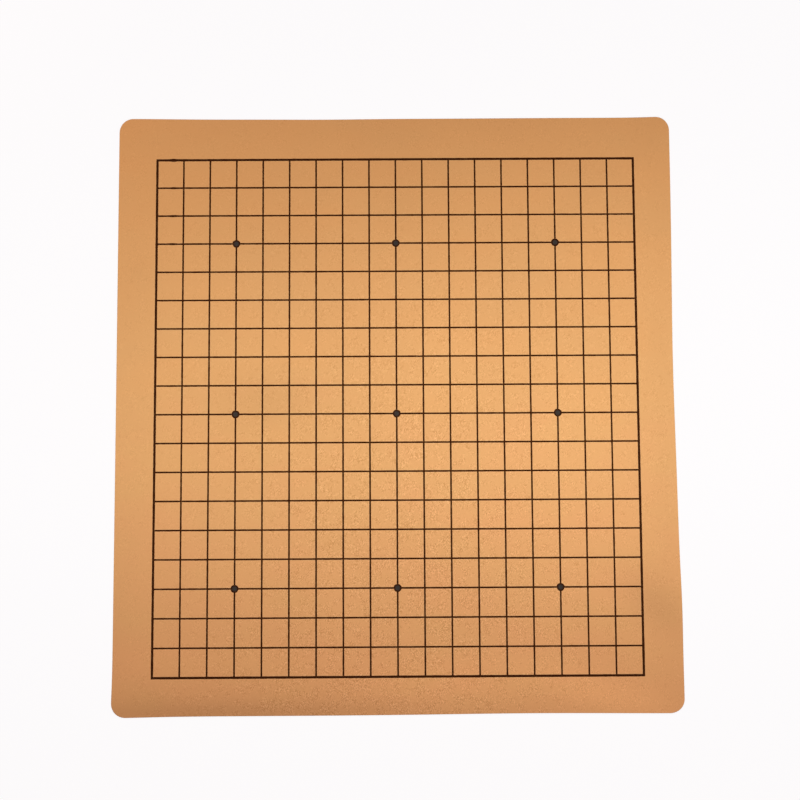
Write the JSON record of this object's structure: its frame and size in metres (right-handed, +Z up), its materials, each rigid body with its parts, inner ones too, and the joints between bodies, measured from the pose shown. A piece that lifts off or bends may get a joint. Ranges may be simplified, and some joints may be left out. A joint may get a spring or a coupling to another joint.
{
  "type": "go board",
  "caption": "Roll-up go board: a soft laminated sheet with rounded corners, its suede face printed with a framed playing grid and round star points, laid flat to play on.",
  "frame": {"origin": "middle of the cut sheet on its underside, where it lies on the table", "axes": "+Z up out of the playing face, +Y along the longer sides to the far edge, +X along the shorter sides to the right"},
  "size_m": [0.459, 0.4898, 0.0021],
  "materials": {
    "suede_face": "matte",
    "bonding_film": "matte",
    "backing_cloth": "matte",
    "printing_ink": "matte"
  },
  "bodies": {
    "root": {"backing_cloth": "backing_cloth", "bonding_film": "bonding_film", "face_skin": "suede_face", "border_line": "printing_ink", "row_line_02": "printing_ink", "row_line_03": "printing_ink", "row_line_04": "printing_ink", "row_line_05": "printing_ink", "row_line_06": "printing_ink", "row_line_07": "printing_ink", "row_line_08": "printing_ink", "row_line_09": "printing_ink", "row_line_10": "printing_ink", "row_line_11": "printing_ink", "row_line_12": "printing_ink", "row_line_13": "printing_ink", "row_line_14": "printing_ink", "row_line_15": "printing_ink", "row_line_16": "printing_ink", "row_line_17": "printing_ink", "row_line_18": "printing_ink", "column_line_02": "printing_ink", "column_line_03": "printing_ink", "column_line_04": "printing_ink", "column_line_05": "printing_ink", "column_line_06": "printing_ink", "column_line_07": "printing_ink", "column_line_08": "printing_ink", "column_line_09": "printing_ink", "column_line_10": "printing_ink", "column_line_11": "printing_ink", "column_line_12": "printing_ink", "column_line_13": "printing_ink", "column_line_14": "printing_ink", "column_line_15": "printing_ink", "column_line_16": "printing_ink", "column_line_17": "printing_ink", "column_line_18": "printing_ink", "star_point_04_04": "printing_ink", "star_point_10_04": "printing_ink", "star_point_16_04": "printing_ink", "star_point_04_10": "printing_ink", "star_point_10_10": "printing_ink", "star_point_16_10": "printing_ink", "star_point_04_16": "printing_ink", "star_point_10_16": "printing_ink", "star_point_16_16": "printing_ink"}
  },
  "joints": []
}
